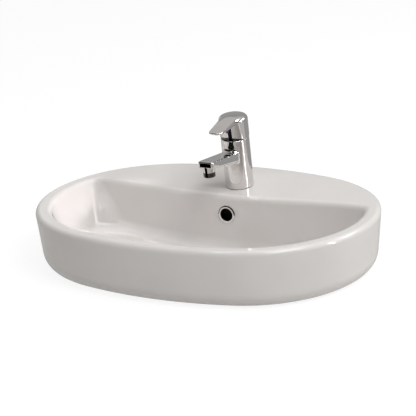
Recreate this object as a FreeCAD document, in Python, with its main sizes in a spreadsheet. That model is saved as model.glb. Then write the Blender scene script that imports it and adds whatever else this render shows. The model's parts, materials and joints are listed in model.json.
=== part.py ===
import FreeCAD, Part
import math
import os

import Sketcher

# Countertop washbasin with a single-lever mixer tap, in millimetres.
# The waste's axis is Z, the countertop is z = 0, +X is to the right and +Y goes to the wall.
# The tap's pieces are drawn upright about their own axis and then stood on the sloping deck.

SIZES = {
    # Ceramic: outside
    "half_width": (300.8, "half of the basin's width"),
    "half_depth": (218.8, "half of the basin's depth, front to back"),
    "end_share": (0.952, "radius of the oval's two ends, as a share of half its depth"),
    "oval_back": (42, "how far the oval's centre is behind the waste"),
    "wall_lean": (10, "how far the foot of the wall is drawn in all round"),
    "base_round": (28.7, "rounding from the wall to the base"),
    "rim_round": (8, "rounding of the rim's outer edge"),
    "foot_width": (20, "width of the foot ring that stands on the counter"),
    "skin": (10, "thickness of the outer wall"),
    # Ceramic: bowl
    "rim_width": (26, "rim width between the outer wall and the bowl"),
    "bowl_depth": (104, "depth of the bowl under the rim, at the waste"),
    "bowl_sink": (4, "how far the bowl's lowest line is under the countertop"),
    "bowl_lean": (28.4, "how far the bowl's floor is drawn in"),
    "bowl_setback": (13.5, "how far the bowl's floor is moved back"),
    "bowl_edge_round": (9, "rounding of the bowl's upper edge"),
    "corner_round_top": (16, "bowl corner rounding at the top"),
    "corner_round_low": (58, "bowl corner rounding under the floor"),
    "floor_round": (18, "rounding between the bowl's walls and floor"),
    "bowl_wall": (10, "thickness of the bowl's walls"),
    "floor_thickness": (11, "thickness of the bowl's floor"),
    "floor_curve": (1550, "radius of the floor, which is dished to the left and right"),
    "floor_fall": (2, "waste's seat under the floor"),
    "seat_slope": (12, "width of the slope around that seat"),
    # Ceramic: deck
    "deck_share": (0.33135, "deck's front edge behind the oval's centre, as a share of half the depth"),
    "deck_dip": (7.9, "lowest point of the deck under the rim"),
    "dish_half_width": (265, "half of the width of the deck's dip"),
    "dish_run": (135, "length of the deck's dip from its front edge"),
    "deck_thickness": (22, "from the rim's level to the hollow under the deck"),
    "tap_share": (0.57724, "tap axis behind the oval's centre, as a share of half the depth"),
    "tap_seat_depth": (0.25, "ground flat seat under the tap"),
    "tap_seat_radius": (26, "radius of that seat"),
    "tap_hole_radius": (17.5, "tap hole"),
    "clamp_depth": (14, "ceramic that the tap clamps"),
    "clamp_seat_radius": (30, "flat seat under the deck"),
    # Ceramic: waste hole and overflow channel
    "waste_hole_radius": (23, "hole in the floor"),
    "waste_seat_radius": (34, "flat seat for the waste's flange"),
    "boss_depth": (17, "underside of the waste boss under the seat"),
    "boss_radius": (36, "radius of the waste boss"),
    "overflow_share": (0.3298, "overflow's centre under the deck's edge, as a share of the bowl's depth"),
    "overflow_hole_radius": (11.5, "overflow hole"),
    "channel_half_width": (15, "half of the overflow channel's width"),
    "channel_depth": (11, "overflow channel, front to back"),
    "channel_height": (8, "overflow channel under the floor"),
    "channel_roof": (4, "ceramic between the waste's seat and the channel"),
    "channel_wall": (7, "ceramic around the channel"),
    # Overflow ring
    "trim_radius": (15.5, "ring's outer radius"),
    "trim_thickness": (2, "ring's thickness in front of the wall"),
    "trim_round": (0.9, "rounding of the ring's front edges"),
    "trim_sleeve": (8, "length of the sleeve in the hole"),
    "trim_bore": (10, "ring's bore"),
    "trim_gap": (0.2, "sleeve to ceramic"),
    # Waste
    "flange_radius": (32, "waste flange"),
    "flange_thickness": (2.1, "waste flange"),
    "top_seal_thickness": (1.5, "rubber under the flange"),
    "thread_radius": (20.6, "upper threaded part of the waste"),
    "tail_radius": (20.95, "G 1 1/4 tail"),
    "throat_radius": (18, "inside of the waste"),
    "tail_end_drop": (77, "lower end of the waste under the seat"),
    "tail_top_drop": (36, "upper end of the free tail under the seat"),
    "window_width": (14, "overflow windows in the waste"),
    "seal_radius": (31, "outer radius of the waste's rubber rings"),
    "bottom_seal_thickness": (7, "rubber under the ceramic"),
    "backnut_thickness": (10, "backnut"),
    "backnut_flats": (58, "backnut across its flats"),
    "bridge_drop": (23, "top of the bridge in the waste under the seat"),
    "bridge_thickness": (4, "bridge in the waste"),
    "bridge_hole_radius": (4.2, "water holes in the bridge"),
    "bridge_hole_ring": (12.2, "circle of those holes"),
    "click_radius": (6.2, "latch unit"),
    "click_flange": (7.4, "latch unit's flange"),
    "click_top_drop": (11, "top of the latch unit under the seat"),
    "click_end_drop": (45, "bottom of the latch unit under the seat"),
    "stem_radius": (3, "plug stem"),
    "stem_end_drop": (31, "lower end of the stem under the seat"),
    "stem_gap": (0.2, "stem to latch unit"),
    "cap_radius": (30, "push cap"),
    "cap_thickness": (2.8, "push cap"),
    "cap_neck_radius": (15, "part of the cap in the throat"),
    "plug_seal_radius": (21, "rubber ring under the cap"),
    "plug_seal_thickness": (1.4, "rubber ring under the cap"),
    "seat_gap": (0.3, "free space between pieces that only rest"),
    # Tap: column and spout, heights over the deck
    "gasket_thickness": (0.8, "rubber under the column"),
    "gasket_inner": (18.6, "rubber under the column"),
    "column_radius": (24.6, "column"),
    "column_top": (89.6, "top of the column"),
    "column_round": (0.8, "rounding of the column's edges"),
    "chamber_radius": (17.7, "chamber of the cartridge"),
    "nut_bore": (19.5, "threaded top of the chamber"),
    "spout_root": (18.5, "where the spout starts in the column's wall"),
    "spout_reach": (101.5, "tap axis to the outlet's axis"),
    "spout_half_width": (14.5, "half of the spout's width"),
    "nose_length": (11.2, "outlet's axis to the flat front of the nose"),
    "nose_corner": (4.5, "rounding of the nose's front corners"),
    "spout_top_round": (2.5, "rounding of the spout's upper edges"),
    "spout_low_round": (3.5, "rounding of the spout's lower edges"),
    "outlet_boss_radius": (10.5, "lower end of the tapered boss under the nose"),
    "root_round": (6, "hollow rounding from the spout to the column"),
    "waterway_radius": (3.6, "waterway in the spout"),
    "inlet_half_gap": (8, "inlets to the side of the axis"),
    "inlet_front": (2, "inlets in front of the axis"),
    "inlet_radius": (4.5, "M10 x 1 thread of the inlets"),
    "inlet_length": (14, "M10 x 1 thread of the inlets"),
    "port_radius": (3.2, "ports in the column and the cartridge"),
    "outlet_back": (6, "cartridge outlet behind the axis"),
    # Tap: fixing under the deck
    "stud_radius": (3, "M6 stud"),
    "stud_back": (12, "stud behind the axis"),
    "stud_bottom": (-45, "lower end of the stud"),
    "stud_in_body": (13, "thread of the stud in the column"),
    "clamp_radius": (25, "horseshoe pad and plate"),
    "clamp_slot": (13.5, "half of the horseshoe's slot"),
    "clamp_slot_end": (6, "end of the slot behind the axis"),
    "pad_thickness": (3, "rubber horseshoe"),
    "plate_thickness": (2.5, "steel horseshoe"),
    "stud_nut_flats": (10, "M6 nut across its flats"),
    "stud_nut_height": (5, "M6 nut"),
    # Tap: outlet
    "aerator_radius": (10.2, "outlet shell"),
    "aerator_thread": (9.4, "threaded part of the shell"),
    "aerator_bore": (8.2, "inside of the shell"),
    "aerator_lip": (7.4, "opening of the shell"),
    "socket_radius": (9.6, "threaded socket in the spout"),
    "mesh_hole_radius": (0.8, "holes in the outlet's insert"),
    # Tap: cartridge
    "port_seal_height": (1, "rubber rings under the cartridge"),
    "port_seal_radius": (5.2, "rubber rings under the cartridge"),
    "cartridge_radius": (17.3, "cartridge"),
    "cartridge_base_height": (3.5, "cartridge floor"),
    "disc_height": (4, "fixed ceramic disc"),
    "disc_radius": (15, "fixed ceramic disc"),
    "slider_radius": (11.2, "moving ceramic disc"),
    "slider_back": (2, "moving disc behind the axis when shut"),
    "slider_height": (6, "moving ceramic disc"),
    "slider_slot_depth": (3.2, "slot for the spindle"),
    "slider_slot_half": (4.3, "half of that slot, front to back"),
    "mixing_radius": (6, "mixing hollow in the moving disc"),
    "mixing_back": (4.2, "mixing hollow behind the axis when shut"),
    "mixing_depth": (1.6, "mixing hollow"),
    "housing_bore": (15.4, "inside of the can around the discs"),
    "housing_neck": (15.7, "outside of the can in the nut"),
    "carrier_radius": (13.4, "rotor"),
    "carrier_gap": (0.3, "rotor to can"),
    "carrier_neck": (10.5, "rotor's neck"),
    "carrier_slot_half": (9, "half of the slot for the spindle"),
    "nut_inner": (16, "retaining nut"),
    "nut_thread": (19.2, "retaining nut's thread"),
    "nut_crown": (18.3, "retaining nut over the column"),
    # Tap: lever
    "pin_radius": (1.5, "pivot pin"),
    "pin_half_length": (10, "pivot pin"),
    "pin_gap": (0.05, "pivot pin to spindle"),
    "spindle_half": (3, "half of the square spindle"),
    "spindle_gap": (0.3, "spindle to rotor and disc"),
    "dome_radius": (23.2, "ball-shaped cover"),
    "dome_thickness": (1.5, "ball-shaped cover"),
    "dome_ring_inner": (18.5, "cover's foot around the nut"),
    "dome_ring_height": (2, "cover's foot"),
    "hood_radius": (25.2, "lever's hood"),
    "hood_dome": (110, "radius of the hood's domed top"),
    "hood_round": (6.5, "rounding of the hood's upper edge"),
    "hood_gap": (0.4, "hood to cover"),
    "hub_radius": (9.5, "hub inside the hood"),
    "lift_angle": (18, "lever's lift in degrees"),
    "relief_margin": (0.6, "extra angle of the hood's rear relief, in degrees"),
    "relief_start": (1.3, "where the rear relief starts behind the axis"),
    "front_angle": (20.7, "slope of the hood's lower edge in front, in degrees"),
    "front_start": (8, "where that slope starts in front of the axis"),
    "tongue_reach": (72, "tip of the tongue in front of the axis"),
    "tongue_root_half": (15.7, "half of the tongue's width at the axis"),
    "tongue_tip_half": (12.5, "half of the tongue's width at the tip"),
    "tongue_fall": (0.128, "slope of the tongue's top"),
    "tongue_bend": (12, "length over which the top bends into that slope"),
    "tongue_proud": (0.3, "how far the tongue's top stands over the hood's"),
    "tongue_start": (6, "where it comes out of the hood's top, in front of the axis"),
    "tongue_tip_round": (9, "rounding of the tip in plan"),
    "tongue_edge_round": (1, "rounding of the tongue's edges"),
    "screw_radius": (2.5, "M5 grub screw"),
    "screw_length": (6.2, "M5 grub screw"),
    "plug_radius": (3.1, "red and blue plug"),
    "plug_depth": (2.6, "red and blue plug"),
}

# Heights over the column's top: the spout, the cartridge and the lever move with it
TAP_LEVELS = {
    "chamber_floor": (-23.6, "chamber of the cartridge"),
    "nut_floor": (-5.6, "lower end of the nut's thread"),
    "root_bottom": (-38.6, "spout's underside at the column"),
    "root_top": (-21.4, "spout's top at the column"),
    "nose_bottom": (-14.6, "spout's underside at the nose"),
    "nose_top": (-2.4, "spout's top at the nose"),
    "outlet_boss_bottom": (-23.4, "lower end of the boss under the nose"),
    "waterway_start": (-32.6, "height of the waterway in the column"),
    "waterway_end": (-12.6, "height of the waterway over the outlet"),
    "aerator_bottom": (-32.1, "lower end of the outlet"),
    "aerator_top": (-15.9, "upper end of the shell"),
    "socket_top": (-14.4, "threaded socket in the spout"),
    "housing_top": (4.4, "top of the can"),
    "carrier_low": (-8.6, "lower end of the rotor"),
    "carrier_shoulder": (1.9, "shoulder of the rotor"),
    "carrier_top": (9.4, "top of the rotor's neck"),
    "nut_top": (2.9, "top of the retaining nut"),
    "pivot_height": (4.4, "axis on which the lever lifts"),
    "spindle_low": (-12, "lower end of the spindle"),
    "spindle_top": (27.4, "upper end of the spindle"),
    "dome_top": (14.4, "upper edge of the cover"),
    "hood_bottom": (0.6, "lower edge of the hood"),
    "hood_top": (40.6, "highest point of the hood"),
    "hub_bottom": (13.4, "hub inside the hood"),
    "tongue_root_low": (28.6, "tongue's underside at the axis"),
    "tongue_tip_low": (29.9, "tongue's underside at the tip"),
    "screw_height": (18.4, "grub screw"),
}


class Size:
    """A length: its value, and the sheet expression that it comes from."""

    def __init__(self, value, text):
        self.value = float(value)
        self.text = text

    def __add__(self, other):
        other = as_size(other)
        return Size(self.value + other.value, "(%s + %s)" % (self.text, other.text))

    def __sub__(self, other):
        other = as_size(other)
        return Size(self.value - other.value, "(%s - %s)" % (self.text, other.text))

    def __mul__(self, other):
        other = as_size(other)
        return Size(self.value * other.value, "(%s * %s)" % (self.text, other.text))

    def __truediv__(self, other):
        other = as_size(other)
        return Size(self.value / other.value, "(%s / %s)" % (self.text, other.text))

    def __radd__(self, other):
        return as_size(other) + self

    def __rsub__(self, other):
        return as_size(other) - self

    def __rmul__(self, other):
        return as_size(other) * self

    def __neg__(self):
        return Size(-self.value, "(0 - %s)" % self.text)


def as_size(number):
    return number if isinstance(number, Size) else Size(number, "(%r)" % float(number))


def vector(x, y, z):
    return FreeCAD.Vector(x, y, z)


doc = FreeCAD.newDocument("washbasin")
sheet = doc.addObject("Spreadsheet::Sheet", "Sizes")


class Sheet:
    """The sheet's cells by their names, each one a Size."""


def write_row(row, alias, number, meaning):
    """Put one named value into the sheet."""
    sheet.set("A%d" % row, meaning)
    sheet.set("B%d" % row, str(number))
    sheet.setAlias("B%d" % row, alias)
    return Size(number, "Sizes." + alias)


size = Sheet()
for row, (alias, (number, meaning)) in enumerate(SIZES.items(), start=1):
    setattr(size, alias, write_row(row, alias, number, meaning))
for row, (alias, (number, meaning)) in enumerate(TAP_LEVELS.items(), start=len(SIZES) + 1):
    level = write_row(row, alias + "_level", number, meaning + ", over the column's top")
    setattr(size, alias, size.column_top + level)
doc.recompute()

# Sizes that follow from others
rim_height = size.bowl_depth - size.bowl_sink
end_radius = size.half_depth * size.end_share
deck_edge = size.half_depth * size.deck_share
tap_back = size.half_depth * size.tap_share
overflow_drop = size.bowl_depth * size.overflow_share
bowl_floor = -size.bowl_sink
waste_seat = bowl_floor - size.floor_fall
boss_bottom = waste_seat - size.boss_depth
channel_ceiling = waste_seat - size.channel_roof
channel_floor = channel_ceiling - size.channel_height
tail_end = waste_seat - size.tail_end_drop
tail_top = waste_seat - size.tail_top_drop
bridge_top = waste_seat - size.bridge_drop
click_top = waste_seat - size.click_top_drop
click_bottom = waste_seat - size.click_end_drop
stem_bottom = waste_seat - size.stem_end_drop

finished = {}


def finish(label, piece, placement=None):
    """Name a finished piece and stand it where it belongs."""
    piece.Label = label
    if placement is not None:
        piece.Placement = placement
    finished[label] = piece
    return piece


# Building blocks


def bind(target, prop, length):
    """Tie one property to the sheet."""
    target.setExpression(prop, as_size(length).text)


def bind_vertex(sketch, edge, spot, across, up):
    """Tie a sketch vertex to its two coordinates."""
    for kind, axis, length in (("DistanceX", -2, as_size(across)), ("DistanceY", -1, as_size(up))):
        if length.text == "(0.0)":
            sketch.addConstraint(Sketcher.Constraint("PointOnObject", edge, spot, axis))
            continue
        rule = sketch.addConstraint(Sketcher.Constraint(kind, -1, 1, edge, spot, length.value))
        sketch.setExpression("Constraints[%d]" % rule, length.text)


def direction(start, end):
    """Unit step between two corners that share a row or a column of the sketch."""
    across = as_size(end[0]).value - as_size(start[0]).value
    up = as_size(end[1]).value - as_size(start[1]).value
    longest = math.hypot(across, up)
    return round(across / longest, 6), round(up / longest, 6)


def draw_loop(sketch, corners):
    """Draw a closed outline; a third value on a square corner is its rounding radius."""
    spots = []
    for number, corner in enumerate(corners):
        across, up = as_size(corner[0]), as_size(corner[1])
        if len(corner) == 2:
            spots.append((across, up, None))
            continue
        radius = as_size(corner[2])
        before = direction(corner, corners[number - 1])
        after = direction(corner, corners[(number + 1) % len(corners)])
        middle = (across.value + radius.value * (before[0] + after[0]),
                  up.value + radius.value * (before[1] + after[1]))
        spots.append((across + radius * before[0], up + radius * before[1], (radius, middle)))
        spots.append((across + radius * after[0], up + radius * after[1], None))
    edges = []
    for number, (across, up, rounding) in enumerate(spots):
        far_across, far_up, _ = spots[(number + 1) % len(spots)]
        start = vector(across.value, up.value, 0)
        end = vector(far_across.value, far_up.value, 0)
        if rounding is None:
            edges.append((sketch.addGeometry(Part.LineSegment(start, end), False), 1, 2))
            continue
        radius, middle = rounding
        centre = vector(middle[0], middle[1], 0)
        turns_left = (start - centre).cross(end - centre).z > 0
        first, last = (start, end) if turns_left else (end, start)
        angles = [math.atan2(point.y - centre.y, point.x - centre.x) for point in (first, last)]
        circle = Part.Circle(centre, vector(0, 0, 1), radius.value)
        arc = sketch.addGeometry(Part.ArcOfCircle(circle, angles[0], angles[1]), False)
        edges.append((arc, 1, 2) if turns_left else (arc, 2, 1))
        rule = sketch.addConstraint(Sketcher.Constraint("Radius", arc, radius.value))
        sketch.setExpression("Constraints[%d]" % rule, radius.text)
    for number, (edge, near, far) in enumerate(edges):
        following, start, _ = edges[(number + 1) % len(edges)]
        sketch.addConstraint(Sketcher.Constraint("Coincident", edge, far, following, start))
        bind_vertex(sketch, edge, near, spots[number][0], spots[number][1])


def new_sketch(body, name, role, offset=0):
    """Sketch on one of a body's own planes, moved along the plane's normal."""
    sketch = body.newObject("Sketcher::SketchObject", name)
    plane = next(item for item in body.Origin.OriginFeatures if item.Role == role)
    sketch.AttachmentSupport = [(plane, "")]
    sketch.MapMode = "FlatFace"
    bind(sketch, "AttachmentOffset.Base.z", offset)
    return sketch


def lathe(label, corners):
    """Body turned about Z from an outline of (radius, height) corners."""
    body = doc.addObject("PartDesign::Body", label)
    sketch = new_sketch(body, label + "_profile", "XZ_Plane")
    draw_loop(sketch, corners)
    turn = body.newObject("PartDesign::Revolution", label + "_turn")
    turn.Profile = sketch
    turn.ReferenceAxis = (sketch, ["V_Axis"])
    turn.Angle = 360
    return body


def slab(label, corners, low, high):
    """Body padded upwards from a plan outline of (x, y) corners."""
    body = doc.addObject("PartDesign::Body", label)
    sketch = new_sketch(body, label + "_plan", "XY_Plane", low)
    draw_loop(sketch, corners)
    pad = body.newObject("PartDesign::Pad", label + "_pad")
    pad.Profile = sketch
    bind(pad, "Length", high - low)
    return body


def hexagon(flats):
    """Plan corners of a hexagon, two of its flats facing left and right."""
    half = flats / 2
    tip = flats / math.sqrt(3)
    return [(half, -tip / 2), (half, tip / 2), (0, tip), (-half, tip / 2), (-half, -tip / 2), (0, -tip)]


def draw_circles(sketch, circles):
    for across, up, radius in circles:
        centre = vector(as_size(across).value, as_size(up).value, 0)
        circle = Part.Circle(centre, vector(0, 0, 1), as_size(radius).value)
        number = sketch.addGeometry(circle, False)
        rule = sketch.addConstraint(Sketcher.Constraint("Radius", number, as_size(radius).value))
        sketch.setExpression("Constraints[%d]" % rule, as_size(radius).text)
        bind_vertex(sketch, number, 3, across, up)


def bore(body, label, circles, low, high):
    """Pocket round holes into a body, from the height low up to high."""
    sketch = new_sketch(body, label + "_circles", "XY_Plane", low)
    draw_circles(sketch, circles)
    pocket = body.newObject("PartDesign::Pocket", label)
    pocket.Profile = sketch
    bind(pocket, "Length", high - low)
    pocket.Reversed = True


def rod(label, radius, low, high, x=0, y=0):
    """Upright cylinder between two heights."""
    piece = doc.addObject("Part::Cylinder", label)
    bind(piece, "Radius", radius)
    bind(piece, "Height", high - low)
    for prop, length in (("x", x), ("y", y), ("z", low)):
        bind(piece, "Placement.Base." + prop, length)
    return piece


def side_rod(label, radius, near, far, height, turn=None):
    """Lying cylinder: along Y from near to far, or along X if turn is given."""
    piece = doc.addObject("Part::Cylinder", label)
    bind(piece, "Radius", radius)
    bind(piece, "Height", far - near)
    axis, angle, prop = ((0, 1, 0), 90, "x") if turn == "X" else ((1, 0, 0), -90, "y")
    piece.Placement = FreeCAD.Placement(vector(0, 0, 0), FreeCAD.Rotation(vector(*axis), angle))
    bind(piece, "Placement.Base." + prop, near)
    bind(piece, "Placement.Base.z", height)
    return piece


def block(label, low, high):
    """Box between two corners."""
    piece = doc.addObject("Part::Box", label)
    for prop, axis, start, end in zip(("Length", "Width", "Height"), "xyz", low, high):
        bind(piece, prop, as_size(end) - start)
        bind(piece, "Placement.Base." + axis, start)
    return piece


def ball(label, radius, height):
    piece = doc.addObject("Part::Sphere", label)
    bind(piece, "Radius", radius)
    bind(piece, "Placement.Base.z", height)
    return piece


def join(label, *pieces):
    result = doc.addObject("Part::MultiFuse", label)
    result.Shapes = list(pieces)
    return result


def cut(label, base, *tools):
    result = doc.addObject("Part::Cut", label)
    result.Base = base
    result.Tool = tools[0] if len(tools) == 1 else join(label + "_tools", *tools)
    return result


def common(label, first, second):
    result = doc.addObject("Part::Common", label)
    result.Base = first
    result.Tool = second
    return result


def seamed(piece):
    """Keep the seams between a piece's faces, also where they meet smoothly."""
    piece.Refine = False
    return piece


def rounded(label, base, radius, wanted):
    """Round those edges of a piece that the test picks."""
    doc.recompute()
    picked = [number for number, edge in enumerate(base.Shape.Edges, start=1) if wanted(edge)]
    if not picked:
        raise ValueError("no edge to round on " + label)
    result = doc.addObject("Part::Fillet", label)
    result.Base = base
    result.Edges = [(number, radius.value, radius.value) for number in picked]
    return result


def solid_of(label, shape):
    """A piece that is shaped directly, from values of the sheet."""
    piece = doc.addObject("Part::Feature", label)
    piece.Shape = shape
    return piece


# Ceramic: ovals of four tangent arcs, lofted into the wall, the bowl and the hollow


def oval(inset, shift, height):
    """The rim's oval drawn in by an inset, moved back by a shift."""
    wide = size.half_width.value - inset
    deep = size.half_depth.value - inset
    ends = end_radius.value - inset
    sides = ((wide - ends) ** 2 + deep ** 2 - ends ** 2) / (2 * (deep - ends))
    middle = size.oval_back.value + shift
    across, along = wide - ends, sides - deep
    step = ends / math.hypot(across, along)
    joint_x, joint_y = across * (1 + step), along * step
    joints = [vector(sx * joint_x, middle + sy * joint_y, height)
              for sx, sy in ((1, 1), (-1, 1), (-1, -1), (1, -1))]
    tops = [vector(0, middle + deep, height), vector(-wide, middle, height),
            vector(0, middle - deep, height), vector(wide, middle, height)]
    arcs = [Part.Arc(joints[number], tops[number], joints[(number + 1) % 4]).toShape() for number in range(4)]
    return Part.Wire(arcs)


def wall_oval(height, inset=0):
    """Outer wall at a height, drawn in by an inset."""
    fall = (rim_height.value - height) / rim_height.value
    return oval(inset + size.wall_lean.value * fall, 0, height)


def bowl_oval(height, grow=0):
    """Bowl at a height, grown by the thickness of its wall."""
    fall = (rim_height.value - height) / size.bowl_depth.value
    inset = size.rim_width.value - grow + size.bowl_lean.value * fall
    return oval(inset, size.bowl_setback.value * fall, height)


def lies_at(edge, height):
    return abs(edge.BoundBox.ZMin - height) < 0.01 and abs(edge.BoundBox.ZMax - height) < 0.01


def wave(reach):
    """Smooth hump: 1 in the middle, 0 from a reach of 1 on."""
    return math.cos(math.pi / 2 * min(abs(reach), 1)) ** 2


edge_y = size.oval_back.value + deck_edge.value
rim_z = rim_height.value
floor_z = bowl_floor.value
overshoot = 15.0


def top_height(x, y):
    """Height of the rim and the deck, with the deck's dip."""
    hump = wave(x / size.dish_half_width.value) * wave((y - edge_y) / size.dish_run.value)
    return rim_z - size.deck_dip.value * hump


def space_above(height, half_x, low_y, high_y, columns, rows):
    """Everything over a smooth surface that is given by its height at any (x, y)."""
    points = []
    for column in range(columns):
        x = half_x * (2 * column / (columns - 1) - 1)
        heights = []
        for row in range(rows):
            y = low_y + (high_y - low_y) * row / (rows - 1)
            heights.append(vector(x, y, height(x, y)))
        points.append(heights)
    surface = Part.BSplineSurface()
    surface.interpolate(points)
    return surface.toShape().extrude(vector(0, 0, 4 * overshoot))


def above_top():
    """Everything over the rim and the dipped deck."""
    middle = size.oval_back.value
    half_y = size.half_depth.value + overshoot
    return space_above(top_height, size.half_width.value + overshoot, middle - half_y, middle + half_y, 45, 37)


def dish(extra=0):
    """Everything over the dished floor, or over a surface that lies an extra depth under it."""
    curve = size.floor_curve.value
    reach = 2 * size.half_depth.value
    return Part.makeCylinder(curve + extra, 2 * reach, vector(0, -reach, floor_z + curve), vector(0, 1, 0))


def on_dish(edge):
    """An edge that lies on the dished floor."""
    curve = size.floor_curve.value
    away = [math.hypot(point.x, point.z - floor_z - curve) - curve for point in edge.discretize(5)]
    return all(abs(distance) < 0.01 for distance in away)


def behind(y):
    """Everything behind a plane across the basin."""
    reach = 4 * size.half_width.value
    return Part.makeBox(reach, reach, reach, vector(-reach / 2, y, -reach / 2))


def bowl_space():
    """The bowl's inside: an oval cup with a flat back, rounded corners and a rounded floor."""
    low = floor_z - size.floor_thickness.value
    cup = Part.makeLoft([bowl_oval(low), bowl_oval(rim_z + overshoot)], True, True).cut(behind(edge_y))
    corners = [edge for edge in cup.Edges
               if edge.BoundBox.YMin > edge_y - 0.01 and edge.BoundBox.ZLength > size.bowl_depth.value]
    cup = cup.makeFillet(size.corner_round_low.value, size.corner_round_top.value, corners)
    cup = cup.common(dish())
    return cup.makeFillet(size.floor_round.value, [edge for edge in cup.Edges if on_dish(edge)])


def bowl_body():
    """The bowl's walls and floor as one solid, before its inside is taken out."""
    grow = size.bowl_wall.value
    thick = size.floor_thickness.value
    low = floor_z - 2 * thick
    body = Part.makeLoft([bowl_oval(low, grow), bowl_oval(rim_z + overshoot, grow)], True, True)
    return body.cut(behind(edge_y + grow)).common(dish(thick))


def top_face(shape):
    return max((face for face in shape.Faces if face.Area > 5000), key=lambda face: face.CenterOfMass.z)


def ceramic_blank():
    """Outer wall, rim, deck and bowl, still solid between them."""
    wall = Part.makeLoft([wall_oval(0), wall_oval(rim_z + overshoot)], True, True)
    wall = wall.makeFillet(size.base_round.value, [edge for edge in wall.Edges if lies_at(edge, 0)])
    blank = wall.fuse(bowl_body()).cut(above_top()).cut(bowl_space())
    face = top_face(blank)
    bowl_edges = [edge for wire in face.Wires if not wire.isSame(face.OuterWire) for edge in wire.Edges]
    blank = blank.makeFillet(size.bowl_edge_round.value, bowl_edges)
    return blank.makeFillet(size.rim_round.value, top_face(blank).OuterWire.Edges)


def underside_hollow():
    """Space under the deck and the bowl, open to the countertop."""
    ceiling = rim_z - size.deck_thickness.value
    knee = size.base_round.value
    opening = size.base_round.value + size.foot_width.value
    hollow = Part.makeLoft([wall_oval(0, opening), wall_oval(knee, size.skin.value),
                            wall_oval(ceiling, size.skin.value)], True, True)
    below = wall_oval(0, opening)
    hollow = hollow.fuse(Part.Face(below).extrude(vector(0, 0, -overshoot)))
    return hollow.cut(bowl_body())


channel_back = deck_edge + size.oval_back + size.bowl_wall + size.channel_depth
overflow_z = rim_height - size.deck_dip - overflow_drop
channel_top = overflow_z + size.overflow_hole_radius + 2
duct_half = size.channel_half_width + size.channel_wall
duct_back = channel_back + size.channel_wall
back_wall = deck_edge + size.oval_back

shell = cut("ceramic_shell", solid_of("ceramic_blank", ceramic_blank()),
            solid_of("underside_space", underside_hollow()))
inside_floor = bowl_floor - size.floor_thickness / 3
inside_wall = back_wall + size.bowl_wall / 3
ceramic = join(
    "ceramic",
    shell,
    rod("waste_boss", size.boss_radius, boss_bottom, inside_floor),
    block("channel_block", (-duct_half, 0, boss_bottom), (duct_half, duct_back, inside_floor)),
    block("duct_block", (-duct_half, inside_wall, boss_bottom),
          (duct_half, duct_back, channel_top + size.channel_wall)),
)

# The tap's own frame: on the deck, square to the slope
tap_y = size.oval_back.value + tap_back.value
slope = (top_height(0, tap_y + 1) - top_height(0, tap_y - 1)) / 2
lean = math.degrees(math.atan(slope))
tilt = FreeCAD.Rotation(vector(1, 0, 0), lean)
seat = tilt.multVec(vector(0, 0, -size.tap_seat_depth.value))
tap_frame = FreeCAD.Placement(vector(0, tap_y, top_height(0, tap_y)) + seat, tilt)

tap_hole = join(
    "tap_hole",
    rod("tap_seat_cut", size.tap_seat_radius, 0, 2 * size.hood_bottom),
    rod("tap_hole_cut", size.tap_hole_radius, -2 * size.clamp_depth, size.clamp_depth),
    rod("clamp_seat_cut", size.clamp_seat_radius, -2 * size.clamp_depth, -size.clamp_depth),
)
tap_hole.Placement = tap_frame

floor_cone = doc.addObject("Part::Cone", "floor_cone")
bind(floor_cone, "Radius1", size.waste_seat_radius)
bind(floor_cone, "Radius2", size.waste_seat_radius + size.seat_slope)
bind(floor_cone, "Height", 2 * size.floor_fall)
bind(floor_cone, "Placement.Base.z", waste_seat)

basin = cut(
    "basin_casting",
    ceramic,
    tap_hole,
    floor_cone,
    rod("waste_hole", size.waste_hole_radius, 2 * boss_bottom, bowl_floor + size.floor_fall),
    side_rod("overflow_hole", size.overflow_hole_radius, back_wall - size.bowl_wall, channel_back, overflow_z),
    block("duct_space", (-size.channel_half_width, back_wall + size.bowl_wall, channel_floor),
          (size.channel_half_width, channel_back, channel_top)),
    block("channel_space", (-size.channel_half_width, 0, channel_floor),
          (size.channel_half_width, channel_back, channel_ceiling)),
)
finish("basin", basin)

# Overflow ring: turned about Z, then laid with its sleeve into the back wall
sleeve_radius = size.overflow_hole_radius - size.trim_gap
ring = lathe("overflow_ring", [
    (size.trim_bore, -size.trim_sleeve),
    (sleeve_radius, -size.trim_sleeve),
    (sleeve_radius, 0),
    (size.trim_radius, 0),
    (size.trim_radius, size.trim_thickness, size.trim_round),
    (size.trim_bore, size.trim_thickness, size.trim_round),
])
lying = FreeCAD.Rotation(vector(1, 0, 0), 90)
finish("overflow_ring", ring, FreeCAD.Placement(vector(0, back_wall.value, overflow_z.value), lying))

# Waste
flange_low = waste_seat + size.top_seal_thickness
flange_top = flange_low + size.flange_thickness
tail_chamfer = 1
bridge_low = bridge_top - size.bridge_thickness

finish("waste_top_seal", lathe("waste_top_seal", [
    (size.thread_radius + size.seat_gap, waste_seat),
    (size.seal_radius, waste_seat),
    (size.seal_radius, flange_low),
    (size.thread_radius + size.seat_gap, flange_low),
]))
waste_turned = lathe("waste_turned", [
    (size.throat_radius, tail_end),
    (size.tail_radius - tail_chamfer, tail_end),
    (size.tail_radius, tail_end + tail_chamfer),
    (size.tail_radius, tail_top),
    (size.thread_radius, tail_top),
    (size.thread_radius, flange_low),
    (size.flange_radius, flange_low),
    (size.flange_radius, flange_top, 0.9),
    (size.plug_seal_radius + 2, flange_top),
    (size.throat_radius, flange_low),
    (size.throat_radius, bridge_top),
    (size.click_radius, bridge_top),
    (size.click_radius, bridge_low),
    (size.throat_radius, bridge_low),
])
holes = []
for number in range(6):
    angle = math.radians(60 * number)
    holes.append((size.bridge_hole_ring * math.cos(angle), size.bridge_hole_ring * math.sin(angle),
                  size.bridge_hole_radius))
bore(waste_turned, "bridge_holes", holes, bridge_low, bridge_top)
window_top = channel_ceiling
half_window = size.window_width / 2
reach = size.tail_radius + 5
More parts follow.
